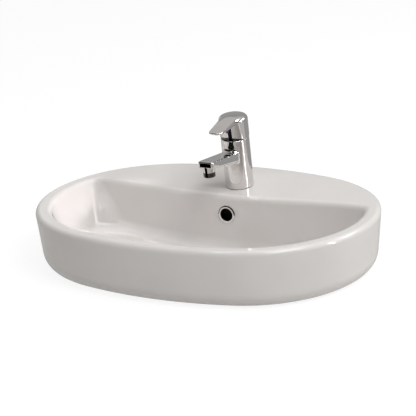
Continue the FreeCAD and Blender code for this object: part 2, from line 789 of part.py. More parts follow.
waste = cut(
    "waste_windowed",
    waste_turned,
    block("side_windows", (-reach, -half_window, channel_floor), (reach, half_window, window_top)),
    block("front_windows", (-half_window, -reach, channel_floor), (half_window, reach, window_top)),
)
finish("waste_body", waste)

seal_low = boss_bottom - size.bottom_seal_thickness
finish("waste_bottom_seal", lathe("waste_bottom_seal", [
    (size.tail_radius + size.seat_gap, seal_low),
    (size.seal_radius - 3, seal_low),
    (size.seal_radius, boss_bottom),
    (size.tail_radius + size.seat_gap, boss_bottom),
]))
backnut = slab("waste_backnut", hexagon(size.backnut_flats), seal_low - size.backnut_thickness, seal_low)
bore(backnut, "backnut_bore", [(0, 0, size.tail_radius + size.seat_gap)],
     seal_low - size.backnut_thickness, seal_low)
finish("waste_backnut", backnut)

finish("click_unit", lathe("click_unit", [
    (0, click_bottom),
    (size.click_radius, click_bottom),
    (size.click_radius, bridge_top),
    (size.click_flange, bridge_top),
    (size.click_flange, bridge_top + 2),
    (size.stem_radius + 2, bridge_top + 2),
    (size.stem_radius + 2, click_top),
    (size.stem_radius + size.stem_gap, click_top),
    (size.stem_radius + size.stem_gap, stem_bottom - 2),
    (0, stem_bottom - 2),
]))
seal_top = flange_top + size.seat_gap + size.plug_seal_thickness
neck_low = flange_low - 3
finish("plug_stem", lathe("plug_stem", [
    (0, stem_bottom),
    (size.stem_radius, stem_bottom),
    (size.stem_radius, seal_top),
    (0, seal_top),
]))
finish("plug_cap", lathe("plug_cap", [
    (size.stem_radius, neck_low),
    (size.cap_neck_radius, neck_low),
    (size.cap_neck_radius, seal_top),
    (size.cap_radius, seal_top),
    (size.cap_radius, seal_top + size.cap_thickness, 1.6),
    (0, seal_top + size.cap_thickness),
    (0, seal_top),
    (size.stem_radius, seal_top),
]))
finish("plug_seal", lathe("plug_seal", [
    (size.cap_neck_radius, seal_top - size.plug_seal_thickness),
    (size.plug_seal_radius, seal_top - size.plug_seal_thickness),
    (size.plug_seal_radius, seal_top),
    (size.cap_neck_radius, seal_top),
]))

# Tap: column and spout
column = lathe("column", [
    (0, size.gasket_thickness),
    (size.column_radius, size.gasket_thickness, size.column_round),
    (size.column_radius, size.column_top, size.column_round),
    (size.nut_bore, size.column_top),
    (size.nut_bore, size.nut_floor),
    (size.chamber_radius, size.nut_floor),
    (size.chamber_radius, size.chamber_floor),
    (0, size.chamber_floor),
])
nose_front = -size.spout_reach - size.nose_length
spout_plan = slab("spout_plan", [
    (-size.spout_half_width, -size.spout_root),
    (-size.spout_half_width, nose_front, size.nose_corner),
    (size.spout_half_width, nose_front, size.nose_corner),
    (size.spout_half_width, -size.spout_root),
], size.root_bottom - 5, size.nose_top + 5)
spout_side = doc.addObject("PartDesign::Body", "spout_side")
side_sketch = new_sketch(spout_side, "spout_side_outline", "YZ_Plane")
draw_loop(side_sketch, [
    (1 - size.spout_root, size.root_bottom),
    (1 - size.spout_root, size.root_top),
    (nose_front - 1, size.nose_top),
    (nose_front - 1, size.nose_bottom),
])
side_pad = spout_side.newObject("PartDesign::Pad", "spout_side_pad")
side_pad.Profile = side_sketch
bind(side_pad, "Length", 3 * size.spout_half_width)
side_pad.Midplane = True
spout_raw = common("spout_raw", spout_plan, spout_side)


def is_upright(edge):
    return edge.BoundBox.XLength < 0.001 and edge.BoundBox.YLength < 0.001


def long_spout_edge(edge):
    """Edges that run along the spout and around its nose."""
    starts_at_root = edge.BoundBox.YMin > -size.spout_root.value - 0.01
    return not starts_at_root and edge.BoundBox.ZLength > 0.001 and not is_upright(edge)


def over_middle(edge):
    """An edge in the upper half of the spout, which rises to its nose."""
    share = (edge.CenterOfMass.y + size.spout_root.value) / (nose_front + size.spout_root).value
    low = size.root_bottom + (size.nose_bottom - size.root_bottom) * share
    high = size.root_top + (size.nose_top - size.root_top) * share
    return edge.CenterOfMass.z > (low + high).value / 2


spout_topped = rounded("spout_topped", spout_raw, size.spout_top_round,
                       lambda edge: long_spout_edge(edge) and over_middle(edge))
spout = rounded("spout", spout_topped, size.spout_low_round,
                lambda edge: long_spout_edge(edge) and not over_middle(edge)
                and edge.BoundBox.ZMax < size.nose_bottom.value + 0.5)
outlet_boss = doc.addObject("Part::Cone", "outlet_boss")
bind(outlet_boss, "Radius1", size.outlet_boss_radius)
bind(outlet_boss, "Radius2", size.nose_length - 0.1)
bind(outlet_boss, "Height", size.nose_bottom + 2 - size.outlet_boss_bottom)
bind(outlet_boss, "Placement.Base.y", -size.spout_reach)
bind(outlet_boss, "Placement.Base.z", size.outlet_boss_bottom)
tap_raw = join("tap_raw", column, spout, outlet_boss)


def around_root(edge):
    """The seam between the spout and the column."""
    points = edge.discretize(5)
    on_column = all(abs(math.hypot(p.x, p.y) - size.column_radius.value) < 0.02 for p in points)
    in_height = size.root_bottom.value - 5 < edge.CenterOfMass.z < size.nose_top.value
    in_front = all(p.y < 0 and abs(p.x) < size.spout_half_width.value + 1 for p in points)
    return on_column and in_height and in_front


tap_cast = rounded("tap_cast", tap_raw, size.root_round, around_root)

waterway = doc.addObject("Part::Cylinder", "waterway")
bind(waterway, "Radius", size.waterway_radius)
rise = size.waterway_end.value - size.waterway_start.value
run = size.spout_reach.value + size.outlet_back.value
waterway.Height = math.hypot(run, rise)
waterway.Placement = FreeCAD.Placement(
    vector(0, size.outlet_back.value, size.waterway_start.value),
    FreeCAD.Rotation(vector(0, 0, 1), vector(0, -run, rise)),
)
inlets = [(-size.inlet_half_gap, -size.inlet_front), (size.inlet_half_gap, -size.inlet_front)]
ports = inlets + [(0, size.outlet_back)]
inlet_top = size.gasket_thickness + size.inlet_length
tap_cuts = [
    waterway,
    rod("outlet_port", size.port_radius, size.waterway_start, size.chamber_floor + 1, 0, size.outlet_back),
    rod("socket", size.socket_radius, size.aerator_bottom, size.socket_top, 0, -size.spout_reach),
    rod("stud_hole", size.stud_radius, 0, size.gasket_thickness + size.stud_in_body, 0, size.stud_back),
]
for name, (x, y) in zip(("cold", "hot"), reversed(inlets)):
    tap_cuts.append(rod(name + "_thread", size.inlet_radius, 0, inlet_top, x, y))
    tap_cuts.append(rod(name + "_port", size.port_radius, 0, size.chamber_floor + 1, x, y))
finish("tap_body", cut("tap_bored", tap_cast, *tap_cuts), tap_frame)

finish("tap_base_gasket", lathe("tap_base_gasket", [
    (size.gasket_inner, 0),
    (size.column_radius - size.column_round, 0),
    (size.column_radius - size.column_round, size.gasket_thickness),
    (size.gasket_inner, size.gasket_thickness),
]), tap_frame)

# Tap: fixing under the deck


def horseshoe(label, low, high):
    plan = [(-size.clamp_slot, -2 * size.clamp_radius), (size.clamp_slot, -2 * size.clamp_radius),
            (size.clamp_slot, size.clamp_slot_end), (-size.clamp_slot, size.clamp_slot_end)]
    piece = cut(
        label + "_slotted",
        rod(label + "_disc", size.clamp_radius, low, high),
        slab(label + "_slot", plan, low - 1, high + 1),
        rod(label + "_hole", size.stud_radius + size.seat_gap, low - 1, high + 1, 0, size.stud_back),
    )
    return finish(label, piece, tap_frame)


pad_low = -size.clamp_depth - size.pad_thickness
plate_low = pad_low - size.plate_thickness
nut_low = plate_low - size.stud_nut_height
horseshoe("clamp_pad", pad_low, -size.clamp_depth)
horseshoe("clamp_plate", plate_low, pad_low)
stud_frame = tap_frame.multiply(FreeCAD.Placement(vector(0, size.stud_back.value, 0), FreeCAD.Rotation()))
stud_top = size.gasket_thickness + size.stud_in_body
finish("fixing_stud", lathe("fixing_stud", [
    (0, size.stud_bottom),
    (size.stud_radius, size.stud_bottom),
    (size.stud_radius, stud_top),
    (0, stud_top),
]), stud_frame)
stud_nut = slab("fixing_nut", hexagon(size.stud_nut_flats), nut_low, plate_low)
bore(stud_nut, "fixing_nut_bore", [(0, 0, size.stud_radius)], nut_low, plate_low)
finish("fixing_nut", stud_nut, stud_frame)

# Tap: outlet
outlet_frame = tap_frame.multiply(FreeCAD.Placement(vector(0, -size.spout_reach.value, 0), FreeCAD.Rotation()))
lip_height = 1.2
insert_low = size.aerator_bottom + lip_height
finish("aerator_shell", lathe("aerator_shell", [
    (size.aerator_lip, size.aerator_bottom),
    (size.aerator_radius, size.aerator_bottom, 0.6),
    (size.aerator_radius, size.outlet_boss_bottom),
    (size.aerator_thread, size.outlet_boss_bottom),
    (size.aerator_thread, size.aerator_top),
    (size.aerator_bore, size.aerator_top),
    (size.aerator_bore, insert_low),
    (size.aerator_lip, insert_low),
]), outlet_frame)
insert_floor = insert_low + 1.5
insert = lathe("aerator_insert", [
    (0, insert_low),
    (size.aerator_bore, insert_low),
    (size.aerator_bore, size.aerator_top),
    (size.aerator_bore - 1.2, size.aerator_top),
    (size.aerator_bore - 1.2, insert_floor),
    (0, insert_floor),
])
mesh_holes = [(0, 0, size.mesh_hole_radius)]
for ring_number in (1, 2):
    for number in range(6 * ring_number):
        angle = 2 * math.pi * number / (6 * ring_number)
        spread = 2.6 * ring_number
        mesh_holes.append((spread * math.cos(angle), spread * math.sin(angle), size.mesh_hole_radius))
bore(insert, "mesh_holes", mesh_holes, insert_low, insert_floor)
finish("aerator_insert", insert, outlet_frame)
finish("aerator_seal", lathe("aerator_seal", [
    (size.aerator_bore - 1.2, size.aerator_top),
    (size.aerator_thread, size.aerator_top),
    (size.aerator_thread, size.socket_top),
    (size.aerator_bore - 1.2, size.socket_top),
]), outlet_frame)

# Tap: cartridge
seal_floor = size.chamber_floor
base_low = seal_floor + size.port_seal_height
disc_low = base_low + size.cartridge_base_height
slider_low = disc_low + size.disc_height
slider_top = slider_low + size.slider_height

seal_rings = []
for number, (x, y) in enumerate(ports):
    seal_rings.append(cut(
        "port_seal_%d" % number,
        rod("port_seal_disc_%d" % number, size.port_seal_radius, seal_floor, base_low, x, y),
        rod("port_seal_hole_%d" % number, size.port_radius, seal_floor - 1, base_low + 1, x, y),
    ))
seals = doc.addObject("Part::Compound", "cartridge_seals")
seals.Links = seal_rings
finish("cartridge_seals", seals, tap_frame)

port_holes = [(x, y, size.port_radius) for x, y in ports]
cartridge_base = lathe("cartridge_base", [
    (0, base_low),
    (size.cartridge_radius, base_low),
    (size.cartridge_radius, disc_low),
    (0, disc_low),
])
bore(cartridge_base, "base_ports", port_holes, base_low, disc_low)
finish("cartridge_base", cartridge_base, tap_frame)

fixed_disc = lathe("fixed_disc", [
    (0, disc_low),
    (size.disc_radius, disc_low),
    (size.disc_radius, slider_low),
    (0, slider_low),
])
bore(fixed_disc, "disc_ports", port_holes, disc_low, slider_low)
finish("fixed_disc", fixed_disc, tap_frame)

slot_half = size.spindle_half + size.spindle_gap
slot_low = slider_top - size.slider_slot_depth
moving_disc = cut(
    "moving_disc_cut",
    rod("slider", size.slider_radius, slider_low, slider_top, 0, size.slider_back),
    rod("mixing_hollow", size.mixing_radius, slider_low - 1, slider_low + size.mixing_depth,
        0, size.mixing_back),
    block("slider_slot", (-slot_half, -size.slider_slot_half, slot_low),
          (slot_half, size.slider_slot_half, slider_top + 1)),
)
finish("moving_disc", moving_disc, tap_frame)

can_inner = size.carrier_radius + size.carrier_gap
finish("cartridge_housing", lathe("cartridge_housing", [
    (size.housing_bore, disc_low),
    (size.cartridge_radius, disc_low),
    (size.cartridge_radius, size.nut_floor),
    (size.housing_neck, size.nut_floor),
    (size.housing_neck, size.housing_top),
    (size.carrier_neck + size.carrier_gap, size.housing_top),
    (size.carrier_neck + size.carrier_gap, size.carrier_shoulder + size.carrier_gap),
    (can_inner, size.carrier_shoulder + size.carrier_gap),
    (can_inner, slider_top + size.carrier_gap),
    (size.housing_bore, slider_top + size.carrier_gap),
]), tap_frame)
carrier_turned = lathe("carrier_turned", [
    (0, size.carrier_low),
    (size.carrier_radius, size.carrier_low),
    (size.carrier_radius, size.carrier_shoulder),
    (size.carrier_neck, size.carrier_shoulder),
    (size.carrier_neck, size.carrier_top),
    (0, size.carrier_top),
])
carrier = cut(
    "carrier_slotted",
    carrier_turned,
    block("carrier_slot", (-slot_half, -size.carrier_slot_half, size.carrier_low - 1),
          (slot_half, size.carrier_slot_half, size.carrier_top + 1)),
    side_rod("carrier_pin_hole", size.pin_radius, -2 * size.pin_half_length, 2 * size.pin_half_length,
             size.pivot_height, "X"),
)
finish("disc_carrier", carrier, tap_frame)
pin = lathe("pivot_pin", [
    (0, -size.pin_half_length),
    (size.pin_radius, -size.pin_half_length),
    (size.pin_radius, size.pin_half_length),
    (0, size.pin_half_length),
])
across = FreeCAD.Placement(vector(0, 0, size.pivot_height.value), FreeCAD.Rotation(vector(0, 1, 0), 90))
finish("pivot_pin", pin, tap_frame.multiply(across))

finish("retaining_nut", lathe("retaining_nut", [
    (size.nut_inner, size.nut_floor),
    (size.nut_thread, size.nut_floor),
    (size.nut_thread, size.column_top - size.seat_gap),
    (size.nut_crown, size.column_top - size.seat_gap),
    (size.nut_crown, size.nut_top),
    (size.nut_inner, size.nut_top),
]), tap_frame)

# Tap: ball-shaped cover, lever and what moves with it
dome_inner = size.dome_radius - size.dome_thickness
dome_shell = cut("dome_shell", ball("dome_ball", size.dome_radius, size.pivot_height),
                 ball("dome_space", dome_inner, size.pivot_height))
dome_slice = rod("dome_slice", 2 * size.dome_radius, size.column_top, size.dome_top)
dome_band = common("dome_band", dome_shell, dome_slice)
foot_ring = lathe("dome_foot", [
    (size.dome_ring_inner, size.column_top),
    (dome_inner, size.column_top),
    (dome_inner, size.column_top + size.dome_ring_height),
    (size.dome_ring_inner, size.column_top + size.dome_ring_height),
])
finish("dome_cover", join("dome_joined", dome_band, foot_ring), tap_frame)

spindle = cut(
    "spindle_drilled",
    block("spindle_bar", (-size.spindle_half, -size.spindle_half, size.spindle_low),
          (size.spindle_half, size.spindle_half, size.spindle_top)),
    side_rod("spindle_pin_hole", size.pin_radius + size.pin_gap, -2 * size.spindle_half, 2 * size.spindle_half,
             size.pivot_height, "X"),
)
finish("spindle", spindle, tap_frame)


hood_raw = common("hood_raw", rod("hood_rod", size.hood_radius, size.hood_bottom, size.hood_top + 1),
                  ball("hood_dome", size.hood_dome, size.hood_top - size.hood_dome))
middle_height = (size.hood_bottom.value + size.hood_top.value) / 2
hood = rounded("hood", hood_raw, size.hood_round,
               lambda edge: edge.BoundBox.ZMin > middle_height and not is_upright(edge))


def tongue_top(x, y):
    """Height of the tongue's top: domed across like the hood, then falling straight to the tip."""
    bend = size.tongue_bend.value
    start = size.tongue_start.value
    fall = x * x / (2 * size.hood_dome.value) + size.tongue_fall.value * (math.hypot(y, bend) - bend)
    return size.hood_top.value - fall + size.tongue_proud.value * math.tanh(-2 * (y + start) / start)


def above_tongue():
    """Everything over the tongue's top."""
    margin = size.hood_radius.value / 4
    reach = size.hood_radius.value + margin
    return space_above(tongue_top, reach, -size.tongue_reach.value - margin, reach, 13, 41)


tongue_plan = slab("tongue_plan", [
    (size.tongue_root_half, 0),
    (-size.tongue_root_half, 0),
    (-size.tongue_tip_half, -size.tongue_reach),
    (size.tongue_tip_half, -size.tongue_reach),
], size.tongue_root_low - 5, size.hood_top + 5)
tongue_side = doc.addObject("PartDesign::Body", "tongue_side")
tongue_sketch = new_sketch(tongue_side, "tongue_side_outline", "YZ_Plane")
draw_loop(tongue_sketch, [
    (1, size.tongue_root_low),
    (1, size.hood_top + 1),
    (-size.tongue_reach - 1, size.hood_top + 1),
    (-size.tongue_reach - 1, size.tongue_tip_low),
])
tongue_pad = tongue_side.newObject("PartDesign::Pad", "tongue_side_pad")
tongue_pad.Profile = tongue_sketch
bind(tongue_pad, "Length", 4 * size.tongue_root_half)
tongue_pad.Midplane = True
tongue_raw = cut("tongue_raw", common("tongue_slab", tongue_plan, tongue_side),
                 solid_of("above_tongue", above_tongue()))
tongue_tipped = rounded("tongue_tipped", tongue_raw, size.tongue_tip_round,
                        lambda edge: is_upright(edge) and edge.CenterOfMass.y < -size.tongue_reach.value / 2)
tongue = rounded("tongue", tongue_tipped, size.tongue_edge_round,
                 lambda edge: not is_upright(edge) and edge.BoundBox.YMin < -1)


def relief(label, angle, start, along):
    """Box that slopes up from the hood's lower edge: along +1 to the back, -1 to the front."""
    piece = doc.addObject("Part::Box", label)
    side = 4 * size.hood_radius
    for prop in ("Length", "Width", "Height"):
        bind(piece, prop, side)
    turn = FreeCAD.Rotation(vector(1, 0, 0), along * angle)
    edge = vector(0, along * start, size.hood_bottom.value)
    corner = vector(-side.value / 2, min(along, 0) * side.value, -side.value)
    piece.Placement = FreeCAD.Placement(edge + turn.multVec(corner), turn)
    return piece


# Behind, the hood's lower edge clears the column when the lever is lifted; in front it shows the ball cover
rear_angle = size.lift_angle + size.relief_margin
rear_relief = relief("rear_relief", rear_angle.value, size.relief_start.value, 1)
front_relief = relief("front_relief", size.front_angle.value, size.front_start.value, -1)

socket_half = size.spindle_half + 0.05
hollow_hood = cut("hollow_hood", seamed(join("hood_and_tongue", hood, tongue)),
                  ball("hood_space", size.dome_radius + size.hood_gap, size.pivot_height),
                  rear_relief, front_relief)
hub = rod("hub", size.hub_radius, size.hub_bottom, size.spindle_top + 3)
lever = cut(
    "lever_bored",
    seamed(join("lever_joined", seamed(hollow_hood), hub)),
    block("spindle_socket", (-socket_half, -socket_half, size.hub_bottom - 1),
          (socket_half, socket_half, size.spindle_top + 0.3)),
    side_rod("screw_hole", size.screw_radius, -size.hood_radius - 1, 0, size.screw_height),
    side_rod("plug_hole", size.plug_radius, -size.hood_radius - 1, size.plug_depth - size.hood_radius,
             size.screw_height),
)
finish("lever_handle", seamed(lever), tap_frame)


def lying_pin(label, radius, near, far):
    """Round pin along Y at the grub screw's height, in the tap's frame."""
    piece = lathe(label, [(0, 0), (radius, 0), (radius, far - near), (0, far - near)])
    laid = FreeCAD.Rotation(vector(1, 0, 0), -90)
    spot = FreeCAD.Placement(vector(0, near.value, size.screw_height.value), laid)
    return finish(label, piece, tap_frame.multiply(spot))


lying_pin("handle_screw", size.screw_radius, -size.spindle_half - size.screw_length, -size.spindle_half)
lying_pin("indicator_plug", size.plug_radius, -size.hood_radius, size.plug_depth - size.hood_radius)

# Check everything, then write one file per piece
doc.recompute()
for item in doc.Objects:
    if "Invalid" in item.State or "Error" in item.State:
        raise RuntimeError("%s did not build: %s" % (item.Name, item.State))
os.makedirs("parts", exist_ok=True)
for label, piece in finished.items():
    if piece.Shape.isNull() or not piece.Shape.isValid() or not piece.Shape.Solids:
        raise RuntimeError("%s has no valid shape" % label)
    piece.Shape.exportStep(os.path.join("parts", label + ".step"))
    print("%-20s %2d solid(s) %12.1f mm3" % (label, len(piece.Shape.Solids), piece.Shape.Volume))
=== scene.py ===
"""Dress a countertop washbasin with its mixer tap, and set a small studio around it."""

import json
import math

import bmesh
import bpy
from bpy.props import FloatProperty, FloatVectorProperty, PointerProperty
from mathutils import Matrix, Vector


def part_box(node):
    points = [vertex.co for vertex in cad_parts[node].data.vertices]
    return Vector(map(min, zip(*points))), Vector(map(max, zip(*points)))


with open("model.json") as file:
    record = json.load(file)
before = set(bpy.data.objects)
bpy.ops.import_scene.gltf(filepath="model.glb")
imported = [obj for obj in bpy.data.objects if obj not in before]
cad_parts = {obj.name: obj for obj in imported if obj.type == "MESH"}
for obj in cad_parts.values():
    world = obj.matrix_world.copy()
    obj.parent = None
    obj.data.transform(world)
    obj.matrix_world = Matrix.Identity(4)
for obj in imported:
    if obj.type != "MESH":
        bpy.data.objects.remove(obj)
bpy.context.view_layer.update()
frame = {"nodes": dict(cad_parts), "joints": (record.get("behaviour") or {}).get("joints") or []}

bl_info = {
    "name": "Countertop washbasin",
    "version": (1, 0, 0),
    "blender": (4, 5, 0),
    "location": "View3D > Sidebar > Washbasin",
    "description": "Gives a ceramic washbasin and its chrome mixer tap their finishes and a studio",
    "category": "Object",
}

# Places that the frame gives, in metres
BASIN_LOW, BASIN_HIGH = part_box("basin")
RIM_MIDDLE = Vector((0.0, (BASIN_LOW.y + BASIN_HIGH.y) / 2, BASIN_HIGH.z))
RING_LOW, RING_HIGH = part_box("overflow_ring")
TAP_JOINT = next(joint for joint in frame["joints"] if joint["name"] == "lever_turn")
TAP_FOOT = Vector(TAP_JOINT["pos_m"])
TAP_AXIS = Vector(TAP_JOINT["axis"])
TAP_LEAN = math.atan2(-TAP_AXIS.y, TAP_AXIS.z)

# Soft patches: waves of noise per metre, and the noise at which a patch begins and is full
CLOUDS = {"waves": 9.0, "detail": 3.0, "low": 0.35, "high": 0.7}
SMUDGES = {"waves": 38.0, "detail": 4.0, "low": 0.48, "high": 0.72}
MOTTLE = {"waves": 45.0, "detail": 3.0, "low": 0.35, "high": 0.75}
STAINS = {"waves": 70.0, "detail": 3.0, "low": 0.4, "high": 0.8}

# Basin: lengths in metres, waves of noise per metre, and shares
CHANNEL_START = 0.001
CHANNEL_REACH = 0.0145
FOOT_FADE = 0.6
FOOT_FACING = (-0.8, -0.5)
CLAY_SHADE = 0.8
GLAZE_IOR = 1.52
RIPPLE_WAVES = 26.0
SMEAR_WAVES = 60.0
SMEAR_ROUGHNESS = 0.03
GRIT_WAVES = 2400.0
GRIT_HEIGHT = 0.6
BARE_ROUGHNESS = 0.55

# Plating: shares of the ring's radius, of the smudges' roughness and of the tone
# The ring is painted dark as shade inside RING_BORE, and beyond RING_EDGE on its upper half
RING_BORE = 0.76
RING_EDGE = 0.9
SMUDGE_STRENGTH = 0.5
SMUDGE_SHADE = 0.94
# Painted shade: the aerator shell and the dome cover in the gap under the lever are plated this dark
PAINTED_SHADE_TONE = 0.1
WASTE_THREAD_DEPTH = 0.0012

# Bare metals: the stud's thread runs between two heights along the tap's axis
STUD_THREAD_SPAN = (-1.0, 0.0)
TURNING_WAVES = 900.0
TURNING_ROUGHNESS = 0.14
TURNING_HEIGHT = 0.3
TURNING_DEPTH = 0.0005
STAIN_SHADE = 0.72
BRASS_ROUGHNESS = 0.28
STEEL_ROUGHNESS = 0.3
PIN_ROUGHNESS = 0.25

# Moulded and lapped pieces: a grain is in waves per metre
RUBBER_GRAIN = 1500.0
RUBBER_ROUGHNESS = 0.62
PLASTIC_GRAIN = 900.0
PLASTIC_ROUGHNESS = 0.42
LAPPED_GRAIN = 2500.0
LAPPED_ROUGHNESS = 0.2
GRAIN_ROUGHNESS = 0.12
GRAIN_DEPTH = 0.00008
MOTTLE_SHADE = 0.8
INDICATOR_GRAIN = 1200.0
INDICATOR_ROUGHNESS = 0.22
INDICATOR_GRAIN_ROUGHNESS = 0.1
INDICATOR_GRAIN_DEPTH = 0.00004
INDICATOR_SEAM = 0.0002

# Studio: the dark end fades out between two values of a ray's direction along Y
SENSOR_WIDTH = 36.0
COUNTER_RADIUS = 9.0
COUNTER_GAP = 0.0005
COUNTER_GLOW = 0.88
COUNTER_SHADOW = 0.25
HOLE_HALF_WIDTH = 0.238
HOLE_HALF_DEPTH = 0.150
HOLE_SEGMENTS = 96
DARK_END = (-0.35, 0.1)
WHITE = (1.0, 1.0, 1.0)

# Sockets of a Mix node that mixes colours; its sockets for numbers have the same names
MIX_FACTOR = 0
MIX_FIRST = 6
MIX_SECOND = 7
MIX_RESULT = 2


def colour(name, description, default):
    """A colour that a user may change."""
    return FloatVectorProperty(name=name, description=description, default=default,
                               size=3, min=0.0, max=1.0, subtype="COLOR")


def share(name, description, default):
    """A plain number between 0 and 1."""
    return FloatProperty(name=name, description=description, default=default, min=0.0, max=1.0)


def length(name, description, default):
    """A length in metres."""
    return FloatProperty(name=name, description=description, default=default, unit="LENGTH")


def angle(name, description, degrees):
    """An angle, given in degrees."""
    return FloatProperty(name=name, description=description, default=math.radians(degrees),
                         subtype="ANGLE")


class CeramicSettings(bpy.types.PropertyGroup):
    """Glaze of the basin."""

    glaze: colour("Glaze", "White of the glaze", (0.795, 0.772, 0.757))
    thin_glaze: colour("Thin glaze", "Tone where the glaze is thinner", (0.77, 0.745, 0.727))
    bare: colour("Bare clay", "Unglazed foot that stands on the counter", (0.66, 0.60, 0.52))
    # Painted shade: the near-black of the overflow's hollow stands in for shade; the clay there is
    # unglazed
    channel: colour("Channel", "Raw, stained inside of the overflow channel", (0.045, 0.04, 0.036))
    gloss: share("Roughness", "Roughness of the glaze", 0.035)
    ripple: length("Ripple", "Height of the slow ripple in the glaze", 0.00025)
    foot: length("Bare foot", "Height of the unglazed foot", 0.0015)


class MetalSettings(bpy.types.PropertyGroup):
    """Plating and bare metals of the tap and the waste."""

    chrome: colour("Chrome", "Polished plating", (0.76, 0.74, 0.73))
    # Painted shade: near-black plating in the overflow ring's bore and along the upper half of its edge
    shaded: colour("Shaded plating", "Bore and sealed edge of the overflow ring", (0.02, 0.02, 0.02))
    smudge: share("Smudge", "Roughness where the plating was touched", 0.13)
    polish: share("Polish", "Roughness of the clean plating", 0.035)
    brass: colour("Brass", "Turned brass under the deck", (0.66, 0.49, 0.24))
    steel: colour("Steel", "Zinc-plated steel", (0.58, 0.58, 0.60))
    waste_pitch: length("Waste thread", "Pitch of the waste's thread", 0.00231)
    stud_pitch: length("Stud thread", "Pitch of the stud's thread", 0.001)


class TrimSettings(bpy.types.PropertyGroup):
    """Rubber, plastic and the small coloured plug."""

    rubber: colour("Rubber", "Seals and pads", (0.035, 0.035, 0.037))
    plastic: colour("Plastic", "Cartridge and outlet insert", (0.74, 0.735, 0.71))
    alumina: colour("Ceramic discs", "Lapped ceramic", (0.86, 0.84, 0.79))
    hot: colour("Hot", "Left half of the plug", (0.52, 0.03, 0.03))
    cold: colour("Cold", "Right half of the plug", (0.03, 0.09, 0.42))


class StageSettings(bpy.types.PropertyGroup):
    """Camera, counter and walls."""

    azimuth: angle("Azimuth", "Camera to the right of the front", 28.97)
    elevation: angle("Elevation", "Camera over the rim", 18.45)
    roll: angle("Roll", "Turn of the camera about its own axis", 3.74)
    distance: length("Distance", "Camera to the point that it looks at", 3.0246)
    focal_length: FloatProperty(name="Focal length", default=156.37,
                                description="Lens on a 36 mm wide sensor, in millimetres")
    aim_right: length("Aim right", "Picture's middle to the right of the basin's middle", 0.0040)
    aim_down: length("Aim down", "Picture's middle under the basin's middle", 0.0066)
    floor: colour("Counter", "Pale surface that the basin stands on", (0.74, 0.735, 0.73))
    mirrored_floor: colour("Mirrored counter", "Counter, as the glaze and the chrome show it",
                           (0.54, 0.53, 0.52))
    surroundings: colour("Surroundings", "Walls of the studio", (0.345, 0.338, 0.332))
    mirrored_back: colour("Mirrored wall", "Wall behind, as the chrome shows it", (0.55, 0.54, 0.53))
    mirrored_front: colour("Mirrored dark", "Dark end of the studio, as the chrome shows it",
                           (0.01, 0.01, 0.01))


class Wire:
    """An output of a shader node that can stand in sums and products."""

    def __init__(self, finish, socket):
        self.finish = finish
        self.socket = socket

    def maths(self, operation, *values):
        """Add a Math node."""
        return self.finish.node("ShaderNodeMath", {"operation": operation}, dict(enumerate(values)))

    def __add__(self, other):
        return self.maths("ADD", self, other)

    def __sub__(self, other):
        return self.maths("SUBTRACT", self, other)

    def __mul__(self, other):
        return self.maths("MULTIPLY", self, other)

    def __truediv__(self, other):
        return self.maths("DIVIDE", self, other)

    def __radd__(self, other):
        return self.maths("ADD", other, self)

    def __rsub__(self, other):
        return self.maths("SUBTRACT", other, self)

    def __rmul__(self, other):
        return self.maths("MULTIPLY", other, self)

    def __lt__(self, other):
        return self.maths("LESS_THAN", self, other)

    def __gt__(self, other):
        return self.maths("GREATER_THAN", self, other)

    def __or__(self, other):
        return self.maths("MAXIMUM", self, other)


